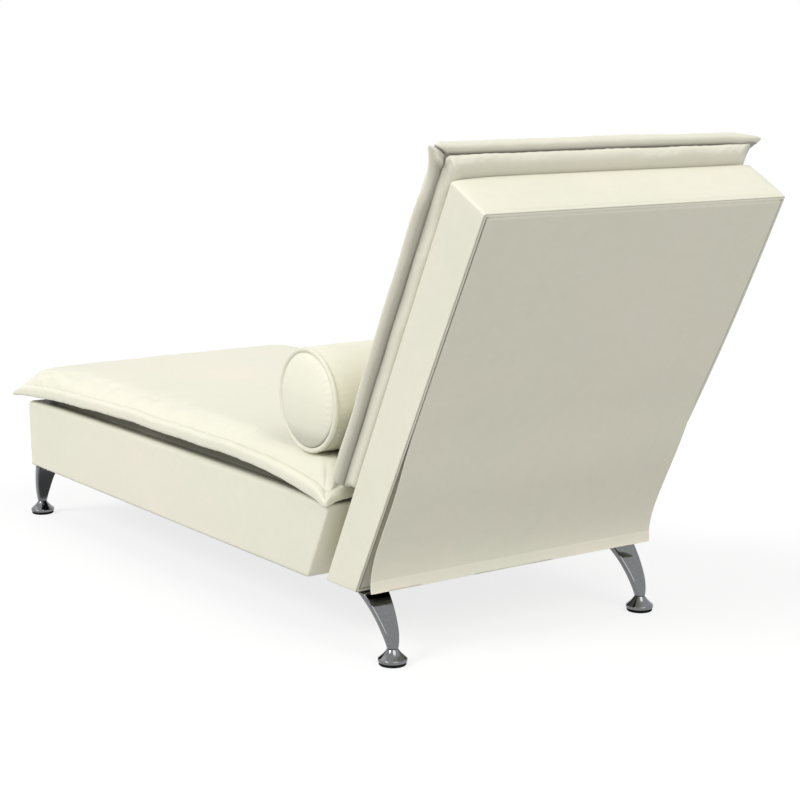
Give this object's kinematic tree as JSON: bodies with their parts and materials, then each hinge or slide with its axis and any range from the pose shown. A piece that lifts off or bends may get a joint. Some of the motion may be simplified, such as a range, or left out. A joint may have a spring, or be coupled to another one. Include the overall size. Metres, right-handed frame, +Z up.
{
  "type": "chaise longue",
  "caption": "Upholstered chaise longue: long padded seat box, leaning padded back with a loose rear flap, loose round bolster, bent chrome legs with screw-in feet.",
  "frame": {"origin": "on the floor under the middle of the footprint", "axes": "+Z up, +X to the sitter's left, +Y from the foot end towards the back"},
  "size_m": [0.628, 1.5122, 0.8026],
  "materials": {
    "cream_leather": "soft satin, smooth coated upholstery leather",
    "timber": "planed, unpainted",
    "board": "plain board",
    "foam": "open foam",
    "dust_cloth": "thin woven cloth",
    "tape": "woven tape",
    "chrome": "polished plating",
    "steel": "plain zinc",
    "black_plastic": "moulded",
    "black_rubber": "moulded"
  },
  "bodies": {
    "couch": {"seat_side_rail_left": "timber", "seat_side_rail_right": "timber", "seat_foot_rail": "timber", "seat_head_rail": "timber", "seat_slats": "timber", "seat_leg_blocks": "timber", "seat_deck": "board", "seat_deck_padding": "foam", "seat_cover": "cream_leather", "seat_dust_cloth": "dust_cloth", "seat_pad_cover": "cream_leather", "seat_pad_foam": "foam", "back_stile_left": "timber", "back_stile_right": "timber", "back_sill": "timber", "back_bolt_rail": "timber", "back_middle_rail": "timber", "back_top_rail": "timber", "back_front_board": "board", "back_cover": "cream_leather", "rear_panel": "cream_leather", "hook_tape": "tape", "back_pad_cover": "cream_leather", "back_pad_foam": "foam", "joint_bolts": "steel", "joint_spacers": "black_plastic", "joint_washers": "steel", "joint_wing_nuts": "steel", "leg_front_left": "chrome", "leg_front_right": "chrome", "leg_rear_left": "chrome", "leg_rear_right": "chrome", "leg_screws": "steel"},
    "flap": {"rear_flap": "cream_leather", "loop_tape": "tape"},
    "bolster": {"bolster_cover": "cream_leather", "bolster_core": "foam", "bolster_piping_left": "cream_leather", "bolster_piping_right": "cream_leather", "bolster_end_left": "cream_leather", "bolster_end_right": "cream_leather", "bolster_zip": "tape"},
    "foot_front_left": {"foot_front_left": "chrome", "glide_front_left": "black_rubber"},
    "foot_front_right": {"foot_front_right": "chrome", "glide_front_right": "black_rubber"},
    "foot_rear_left": {"foot_rear_left": "chrome", "glide_rear_left": "black_rubber"},
    "foot_rear_right": {"foot_rear_right": "chrome", "glide_rear_right": "black_rubber"}
  },
  "joints": [
    {"name": "flap_swing", "type": "hinge", "parent": "couch", "child": "flap", "pos_m": [0, 0.52346, 0.25224], "axis": [1, 0, 0], "range_deg": [-6, 95], "stiffness_Nm_per_rad": 0.12, "springref_deg": -26.47},
    {"name": "bolster_lift", "type": "slide", "parent": "couch", "child": "bolster", "axis": [0, 0, 1], "range_m": [0, 0.5]},
    {"name": "foot_front_left_screw", "type": "slide", "parent": "couch", "child": "foot_front_left", "axis": [0, 0, -1], "range_m": [0, 0.008]},
    {"name": "foot_front_right_screw", "type": "slide", "parent": "couch", "child": "foot_front_right", "axis": [0, 0, -1], "range_m": [0, 0.008]},
    {"name": "foot_rear_left_screw", "type": "slide", "parent": "couch", "child": "foot_rear_left", "axis": [0, 0, -1], "range_m": [0, 0.008]},
    {"name": "foot_rear_right_screw", "type": "slide", "parent": "couch", "child": "foot_rear_right", "axis": [0, 0, -1], "range_m": [0, 0.008]}
  ]
}
